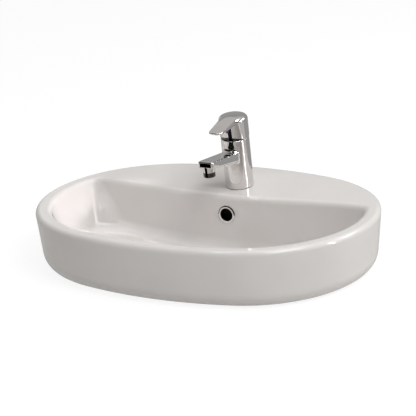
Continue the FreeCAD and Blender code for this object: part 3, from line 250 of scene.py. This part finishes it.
class Finish:
    """A material, or the world, under construction."""

    def __init__(self, name, kind="materials"):
        self.holder = getattr(bpy.data, kind).new(name)
        self.holder.use_nodes = True
        self.tree = self.holder.node_tree
        self.shader = self.tree.nodes.get("Principled BSDF")

    def feed(self, socket, value):
        """Link a wire to a socket, or set the socket's own value."""
        if isinstance(value, Wire):
            self.tree.links.new(value.socket, socket)
        elif socket.type == "RGBA":
            socket.default_value = (*value, 1.0)
        else:
            socket.default_value = value

    def node(self, kind, settings=None, inputs=None, output=0):
        """Add a node: its settings first, then the values or links of its sockets."""
        made = self.tree.nodes.new(kind)
        for name, value in (settings or {}).items():
            setattr(made, name, value)
        for name, value in (inputs or {}).items():
            self.feed(made.inputs[name], value)
        return Wire(self, made.outputs[output])

    def surface(self, **values):
        """Set the shader's sockets; the words of a socket's name are joined by an underscore."""
        for name, value in values.items():
            self.feed(self.shader.inputs[name.replace("_", " ")], value)

    def show(self, shader):
        """Put another shader in the place of the usual one."""
        self.feed(self.tree.nodes["Material Output"].inputs["Surface"], shader)

    def place(self):
        """Position on the piece, in metres."""
        return self.node("ShaderNodeTexCoord", output="Object")

    def along_tap(self):
        """Position in the tap's own upright frame, in metres."""
        return self.node("ShaderNodeMapping", {"vector_type": "TEXTURE"},
                         {"Vector": self.place(), "Location": TAP_FOOT, "Rotation": (TAP_LEAN, 0.0, 0.0)})

    def part(self, vector, axis):
        """One coordinate of a position."""
        return self.node("ShaderNodeSeparateXYZ", None, {"Vector": vector}, output=axis)

    def noise(self, waves, detail=2.0):
        """Soft noise between 0 and 1, with so many waves per metre."""
        return self.node("ShaderNodeTexNoise", None,
                         {"Vector": self.place(), "Scale": waves, "Detail": detail})

    def ramp(self, value, low, high):
        """0 up to low, 1 from high on."""
        return self.node("ShaderNodeMapRange", {"interpolation_type": "SMOOTHSTEP"},
                         {"Value": value, "From Min": low, "From Max": high})

    def patches(self, waves, detail, low, high):
        """Soft patches, 1 where they are full."""
        return self.ramp(self.noise(waves, detail), low, high)

    def blend(self, first, second, factor):
        """Two colours mixed."""
        return self.node("ShaderNodeMix", {"data_type": "RGBA"},
                         {MIX_FACTOR: factor, MIX_FIRST: first, MIX_SECOND: second}, output=MIX_RESULT)

    def either(self, first, second, factor):
        """Two shaders mixed."""
        return self.node("ShaderNodeMixShader", None, {0: factor, 1: first, 2: second})

    def ray(self, kind):
        """1 for one kind of ray, such as Camera."""
        return self.node("ShaderNodeLightPath", output=f"Is {kind} Ray")

    def relief(self, height, depth):
        """Bump from a height between 0 and 1."""
        return self.node("ShaderNodeBump", None, {"Height": height, "Distance": depth, "Strength": 1.0})


def settings_of(context):
    return context.scene.washbasin


def dimmed(tint, amount):
    """A colour with a share of its brightness."""
    return [amount * level for level in tint]


def dress(finish, *names):
    """Give CAD nodes their material."""
    for name in names:
        for slot in frame["nodes"][name].material_slots:
            slot.link = "OBJECT"
            slot.material = finish.holder


def foot_mask(made, foot):
    """1 on the unglazed foot, which is low and faces the counter."""
    height = made.part(made.place(), "Z")
    upward = made.part(made.node("ShaderNodeNewGeometry", output="Normal"), "Z")
    return (1 - made.ramp(height, FOOT_FADE * foot, foot)) * (1 - made.ramp(upward, *FOOT_FACING))


def channel_mask(made):
    """1 in the unglazed hollow behind the overflow ring, which is painted near black as shade."""
    place = made.place()
    across = made.part(place, "X")
    depth = made.part(place, "Y") - RING_HIGH.y
    height = made.part(place, "Z")
    return ((depth > CHANNEL_START) * (depth < CHANNEL_REACH) * (across > RING_LOW.x)
            * (across < RING_HIGH.x) * (height < RING_HIGH.z + CHANNEL_REACH))


def glaze_finish(settings):
    """Glossy white glaze with a slow ripple, over a bare foot and an unglazed hollow behind the overflow
    ring that is painted near black as shade.
    """
    made = Finish("white_glaze")
    bare = foot_mask(made, settings.foot)
    unglazed_and_shaded = channel_mask(made)
    grit = made.noise(GRIT_WAVES)
    glaze = made.blend(settings.glaze, settings.thin_glaze, made.patches(**CLOUDS))
    clay = made.blend(settings.bare, dimmed(settings.bare, CLAY_SHADE), grit)
    # Painted shade: the overflow's hollow is coloured near black
    tone = made.blend(made.blend(glaze, clay, bare), settings.channel, unglazed_and_shaded)
    smears = SMEAR_ROUGHNESS * made.noise(SMEAR_WAVES, detail=3.0)
    height = made.noise(RIPPLE_WAVES, detail=1.0) * (1 - bare) + GRIT_HEIGHT * grit * bare
    made.surface(Base_Color=tone, Roughness=settings.gloss + smears + BARE_ROUGHNESS * (bare | unglazed_and_shaded),
                 IOR=GLAZE_IOR, Normal=made.relief(height, settings.ripple))
    return made


def thread_height(height, thread):
    """Triangular ridges along a height; a thread is (pitch, lowest height, highest height)."""
    pitch, low, high = thread
    half = pitch / 2
    ridge = height.maths("PINGPONG", height, half) / half
    return ridge * ((height > low) * (height < high))


def ring_shade(made):
    """1 in the overflow ring's bore and along its upper edge, where painted shade darkens the plating."""
    middle = (RING_LOW + RING_HIGH) / 2
    outer = (RING_HIGH.x - RING_LOW.x) / 2
    place = made.place()
    across = made.part(place, "X") - middle.x
    up = made.part(place, "Z") - middle.z
    squared = across * across + up * up
    # Painted shadow along the upper half of the edge only
    edge = (squared > (RING_EDGE * outer) ** 2) * (up > 0.0)
    return edge | (squared < (RING_BORE * outer) ** 2)


def chrome_finish(settings, name, thread=None, shade=1.0, dark=None):
    """Polished plating with faint smudges.

    It is darker below shade 1, which paints shade, and takes the colour of painted shade where the
    function dark gives 1.
    """
    made = Finish(name)
    smudge = made.patches(**SMUDGES)
    bright = dimmed(settings.chrome, shade)
    tone = made.blend(bright, dimmed(bright, SMUDGE_SHADE), smudge)
    if dark:
        tone = made.blend(tone, settings.shaded, dark(made))
    touched = SMUDGE_STRENGTH * (settings.smudge - settings.polish)
    made.surface(Base_Color=tone, Metallic=1.0, Roughness=settings.polish + touched * smudge)
    if thread:
        height = thread_height(made.part(made.place(), "Z"), thread)
        made.surface(Normal=made.relief(height, WASTE_THREAD_DEPTH))
    return made


def metal_finish(name, tint, roughness, thread=None):
    """Plain machined metal with fine turning marks, or with a thread along the tap's axis if given."""
    made = Finish(name)
    marks = made.noise(TURNING_WAVES)
    tone = made.blend(tint, dimmed(tint, STAIN_SHADE), made.patches(**STAINS))
    if thread:
        height = thread_height(made.part(made.along_tap(), "Z"), thread)
    else:
        height = TURNING_HEIGHT * marks
    made.surface(Base_Color=tone, Metallic=1.0, Roughness=roughness + TURNING_ROUGHNESS * marks,
                 Normal=made.relief(height, TURNING_DEPTH))
    return made


def brass_finish(settings, name):
    """Turned brass."""
    return metal_finish(name, settings.brass, BRASS_ROUGHNESS)


def steel_finish(settings, name, thread=None):
    """Zinc-plated steel."""
    return metal_finish(name, settings.steel, STEEL_ROUGHNESS, thread)


def moulded_finish(name, tint, roughness, grain):
    """Rubber, plastic or lapped ceramic with a fine grain."""
    made = Finish(name)
    fine = made.noise(grain, detail=3.0)
    tone = made.blend(tint, dimmed(tint, MOTTLE_SHADE), made.patches(**MOTTLE))
    made.surface(Base_Color=tone, Roughness=roughness + GRAIN_ROUGHNESS * fine,
                 Normal=made.relief(fine, GRAIN_DEPTH))
    return made


def rubber_finish(settings, name):
    """Matt black rubber."""
    return moulded_finish(name, settings.rubber, RUBBER_ROUGHNESS, RUBBER_GRAIN)


def plastic_finish(settings, name):
    """White moulded plastic."""
    return moulded_finish(name, settings.plastic, PLASTIC_ROUGHNESS, PLASTIC_GRAIN)


def indicator_finish(settings):
    """Glossy plastic, red on the left and blue on the right."""
    made = Finish("hot_and_cold")
    side = made.ramp(made.part(made.place(), "X"), -INDICATOR_SEAM, INDICATOR_SEAM)
    fine = made.noise(INDICATOR_GRAIN)
    made.surface(Base_Color=made.blend(settings.hot, settings.cold, side),
                 Roughness=INDICATOR_ROUGHNESS + INDICATOR_GRAIN_ROUGHNESS * fine,
                 Normal=made.relief(fine, INDICATOR_GRAIN_DEPTH))
    return made


class GlazeBasin(bpy.types.Operator):
    """Give the ceramic basin its glaze"""

    bl_idname = "washbasin.glaze_basin"
    bl_label = "Glaze the basin"

    def execute(self, context):
        dress(glaze_finish(settings_of(context).ceramic), "basin")
        return {"FINISHED"}


class FitWaste(bpy.types.Operator):
    """Finish the overflow ring and the push-button waste"""

    bl_idname = "washbasin.fit_waste"
    bl_label = "Finish the waste and the overflow"

    def execute(self, context):
        metal = settings_of(context).metal
        trim = settings_of(context).trim
        thread = (metal.waste_pitch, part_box("waste_body")[0].z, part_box("waste_backnut")[0].z)
        dress(chrome_finish(metal, "plated_trim"), "plug_cap")
        # The ring's bore and upper edge get painted shade
        dress(chrome_finish(metal, "plated_ring", dark=ring_shade), "overflow_ring")
        dress(chrome_finish(metal, "plated_waste", thread), "waste_body")
        dress(brass_finish(metal, "waste_brass"), "waste_backnut", "plug_stem")
        dress(rubber_finish(trim, "waste_rubber"), "waste_top_seal", "waste_bottom_seal", "plug_seal")
        dress(plastic_finish(trim, "latch_plastic"), "click_unit")
        return {"FINISHED"}


class FitTap(bpy.types.Operator):
    """Finish the tap's body, its outlet and its fixing"""

    bl_idname = "washbasin.fit_tap"
    bl_label = "Finish the tap"

    def execute(self, context):
        metal = settings_of(context).metal
        trim = settings_of(context).trim
        thread = (metal.stud_pitch, *STUD_THREAD_SPAN)
        dress(chrome_finish(metal, "plated_tap"), "tap_body")
        # Painted shade: the aerator shell and the dome cover are darkened plating
        dress(chrome_finish(metal, "shade_painted_trim", shade=PAINTED_SHADE_TONE), "aerator_shell", "dome_cover")
        dress(rubber_finish(trim, "tap_rubber"),
              "tap_base_gasket", "clamp_pad", "aerator_seal", "cartridge_seals")
        dress(steel_finish(metal, "zinc_steel"), "clamp_plate")
        dress(steel_finish(metal, "threaded_steel", thread), "fixing_stud")
        dress(brass_finish(metal, "tap_brass"), "fixing_nut", "retaining_nut")
        dress(plastic_finish(trim, "outlet_plastic"), "aerator_insert")
        return {"FINISHED"}


class FitCartridge(bpy.types.Operator):
    """Finish the pieces inside the cartridge"""

    bl_idname = "washbasin.fit_cartridge"
    bl_label = "Finish the cartridge"

    def execute(self, context):
        metal = settings_of(context).metal
        trim = settings_of(context).trim
        dress(plastic_finish(trim, "cartridge_plastic"),
              "cartridge_base", "cartridge_housing", "disc_carrier")
        dress(moulded_finish("lapped_ceramic", trim.alumina, LAPPED_ROUGHNESS, LAPPED_GRAIN),
              "fixed_disc", "moving_disc")
        dress(metal_finish("pin_steel", metal.steel, PIN_ROUGHNESS), "pivot_pin")
        dress(brass_finish(metal, "spindle_brass"), "spindle")
        return {"FINISHED"}


class FitLever(bpy.types.Operator):
    """Finish the lever, its screw and the red and blue plug"""

    bl_idname = "washbasin.fit_lever"
    bl_label = "Finish the lever"

    def execute(self, context):
        metal = settings_of(context).metal
        trim = settings_of(context).trim
        dress(chrome_finish(metal, "plated_lever"), "lever_handle")
        dress(steel_finish(metal, "screw_steel"), "handle_screw")
        dress(indicator_finish(trim), "indicator_plug")
        return {"FINISHED"}


def new_object(name, data):
    """Add an object to the scene."""
    made = bpy.data.objects.new(name, data)
    bpy.context.scene.collection.objects.link(made)
    return made


def mesh_object(name, shape, finish):
    """Add a finished bmesh to the scene with its material."""
    mesh = bpy.data.meshes.new(name)
    shape.to_mesh(mesh)
    shape.free()
    mesh.materials.append(finish.holder)
    return new_object(name, mesh)


def turned(place, aim, axis):
    """Rotation that points an axis from a place to what it aims at."""
    return (Vector(aim) - Vector(place)).to_track_quat(axis, "Y")


def counter_finish(settings):
    """Pale counter: bright where the camera sees it, dimmer in mirrors, and clear from below."""
    made = Finish("pale_counter")
    matt = made.node("ShaderNodeBsdfDiffuse", None, {"Color": settings.floor})
    faint = made.node("ShaderNodeBsdfDiffuse", None, {"Color": dimmed(settings.floor, COUNTER_SHADOW)})
    glow = made.node("ShaderNodeEmission", None, {"Color": WHITE, "Strength": COUNTER_GLOW})
    pale = made.node("ShaderNodeAddShader", None, {0: faint, 1: glow})
    dim = made.node("ShaderNodeEmission", None, {"Color": settings.mirrored_floor})
    clear = made.node("ShaderNodeBsdfTransparent")
    below = made.node("ShaderNodeNewGeometry", output="Backfacing")
    above = made.either(matt, pale, made.ray("Camera") | made.ray("Transmission"))
    above = made.either(above, dim, made.ray("Glossy"))
    made.show(made.either(above, clear, below))
    return made


def counter_top(settings):
    """Round counter with the oval hole that the bowl's underside passes through."""
    shape = bmesh.new()
    bmesh.ops.create_circle(shape, segments=HOLE_SEGMENTS, radius=COUNTER_RADIUS)
    hole = bmesh.ops.create_circle(shape, segments=HOLE_SEGMENTS, radius=1.0)["verts"]
    bmesh.ops.scale(shape, verts=hole, vec=(HOLE_HALF_WIDTH, HOLE_HALF_DEPTH, 1.0))
    bmesh.ops.translate(shape, verts=hole, vec=(0.0, RIM_MIDDLE.y, 0.0))
    bmesh.ops.bridge_loops(shape, edges=shape.edges[:])
    for face in shape.faces:
        if face.normal.z < 0:
            face.normal_flip()
    counter = mesh_object("counter", shape, counter_finish(settings))
    counter.location.z = -COUNTER_GAP


def lamp(name, place, size, power, aim=RIM_MIDDLE, spread=math.pi, lights=True):
    """Rectangular soft box that faces a point; a small spread makes a narrow beam.

    A lamp that doesn't light matt surfaces only shows in the glaze and the chrome.
    """
    data = bpy.data.lights.new(name, "AREA")
    data.shape = "RECTANGLE"
    data.size, data.size_y = size
    data.energy = power
    data.spread = spread
    made = new_object(name, data)
    made.location = place
    made.rotation_mode = "QUATERNION"
    made.rotation_quaternion = turned(place, aim, "-Z")
    made.visible_diffuse = lights


def card(name, place, aim, size, tone):
    """Flat card that only shows in reflections, facing a point."""
    shape = bmesh.new()
    corners = bmesh.ops.create_grid(shape, x_segments=1, y_segments=1, size=0.5)["verts"]
    facing = turned(place, aim, "Z").to_matrix().to_4x4()
    bmesh.ops.scale(shape, verts=corners, vec=(*size, 1.0))
    bmesh.ops.transform(shape, verts=corners, matrix=Matrix.Translation(place) @ facing)
    paint = Finish(name)
    paint.show(paint.node("ShaderNodeEmission", None, {"Color": (tone, tone, tone)}))
    made = mesh_object(name, shape, paint)
    made.visible_camera = False
    made.visible_diffuse = False
    made.visible_shadow = False


def studio_walls(settings):
    """Grey walls; in reflections the wall behind is pale and the front end of the studio is dark."""
    made = Finish("studio", "worlds")
    facing = made.node("ShaderNodeTexCoord", output="Generated")
    behind = made.ramp(made.part(facing, "Y"), *DARK_END)
    mirrored = made.blend(settings.mirrored_front, settings.mirrored_back, behind)
    tone = made.blend(settings.surroundings, mirrored, made.ray("Glossy"))
    made.feed(made.tree.nodes["Background"].inputs["Color"], tone)
    return made.holder


def photo_camera(settings):
    """Camera at the photograph's viewing angle."""
    turn, rise, roll = settings.azimuth, settings.elevation, settings.roll
    back = Vector((math.sin(turn) * math.cos(rise), -math.cos(turn) * math.cos(rise), math.sin(rise)))
    level = Vector((math.cos(turn), math.sin(turn), 0.0))
    upright = back.cross(level)
    right = level * math.cos(roll) - upright * math.sin(roll)
    up = level * math.sin(roll) + upright * math.cos(roll)
    aim = RIM_MIDDLE + right * settings.aim_right - up * settings.aim_down
    camera = new_object("camera", bpy.data.cameras.new("camera"))
    camera.data.lens = settings.focal_length
    camera.data.sensor_width = SENSOR_WIDTH
    camera.location = aim + back * settings.distance
    camera.rotation_mode = "QUATERNION"
    camera.rotation_quaternion = Matrix((right, up, back)).transposed().to_quaternion()
    return camera


class BuildStage(bpy.types.Operator):
    """Set the camera, the lights and the counter"""

    bl_idname = "washbasin.build_stage"
    bl_label = "Set the stage"

    def execute(self, context):
        settings = settings_of(context).stage
        scene = context.scene
        counter_top(settings)
        scene.camera = photo_camera(settings)
        lamp("key", place=(1.35, -0.75, 2.1), size=(1.1, 1.1), power=25.0)
        lamp("strip", place=(2.0, 0.18, 0.55), size=(0.15, 1.3), power=12.0, lights=False)
        lamp("window", place=(1.5, 1.1, 1.3), size=(0.8, 0.8), power=13.0)
        lamp("rim", place=(-0.5, 0.05, 2.4), size=(0.3, 0.2), power=2.2)
        lamp("top", place=(0.4, 0.3, 2.4), size=(1.6, 1.0), power=6.5)
        lamp("left_wall", place=(1.8, 0.0, 1.1), aim=(-0.22, 0.02, 0.05), size=(0.16, 0.12),
             power=0.08, spread=math.radians(10.0))
        card("dark_card", place=(-0.032, -0.005, 0.133), aim=(0.0, 0.05, 0.166), size=(0.06, 0.045),
             tone=0.0)
        card("grey_card", place=(0.5, 0.45, 0.2), aim=(0.5, 0.0, 0.2), size=(1.6, 0.5), tone=0.36)
        scene.world = studio_walls(settings)
        scene.view_settings.view_transform = "Standard"
        return {"FINISHED"}


class WashbasinSettings(bpy.types.PropertyGroup):
    """Everything that a user may change."""

    ceramic: PointerProperty(type=CeramicSettings)
    metal: PointerProperty(type=MetalSettings)
    trim: PointerProperty(type=TrimSettings)
    stage: PointerProperty(type=StageSettings)


OPERATORS = (GlazeBasin, FitWaste, FitTap, FitCartridge, FitLever, BuildStage)


class WashbasinPanel(bpy.types.Panel):
    """Steps that dress the washbasin"""

    bl_idname = "VIEW3D_PT_washbasin"
    bl_label = "Washbasin"
    bl_space_type = "VIEW_3D"
    bl_region_type = "UI"
    bl_category = "Washbasin"

    def draw(self, context):
        for operator in OPERATORS:
            self.layout.operator(operator.bl_idname)
        for group in WashbasinSettings.__annotations__:
            column = self.layout.column(heading=group.capitalize())
            held = getattr(settings_of(context), group)
            for name in held.__annotations__:
                column.prop(held, name)


CLASSES = (CeramicSettings, MetalSettings, TrimSettings, StageSettings, WashbasinSettings,
           *OPERATORS, WashbasinPanel)


def register():
    for cls in CLASSES:
        bpy.utils.register_class(cls)
    bpy.types.Scene.washbasin = PointerProperty(type=WashbasinSettings)


def unregister():
    del bpy.types.Scene.washbasin
    for cls in reversed(CLASSES):
        bpy.utils.unregister_class(cls)


def main():
    register()
    bpy.ops.washbasin.glaze_basin()
    bpy.ops.washbasin.fit_waste()
    bpy.ops.washbasin.fit_tap()
    bpy.ops.washbasin.fit_cartridge()
    bpy.ops.washbasin.fit_lever()
    bpy.ops.washbasin.build_stage()


if __name__ == "__main__":
    main()
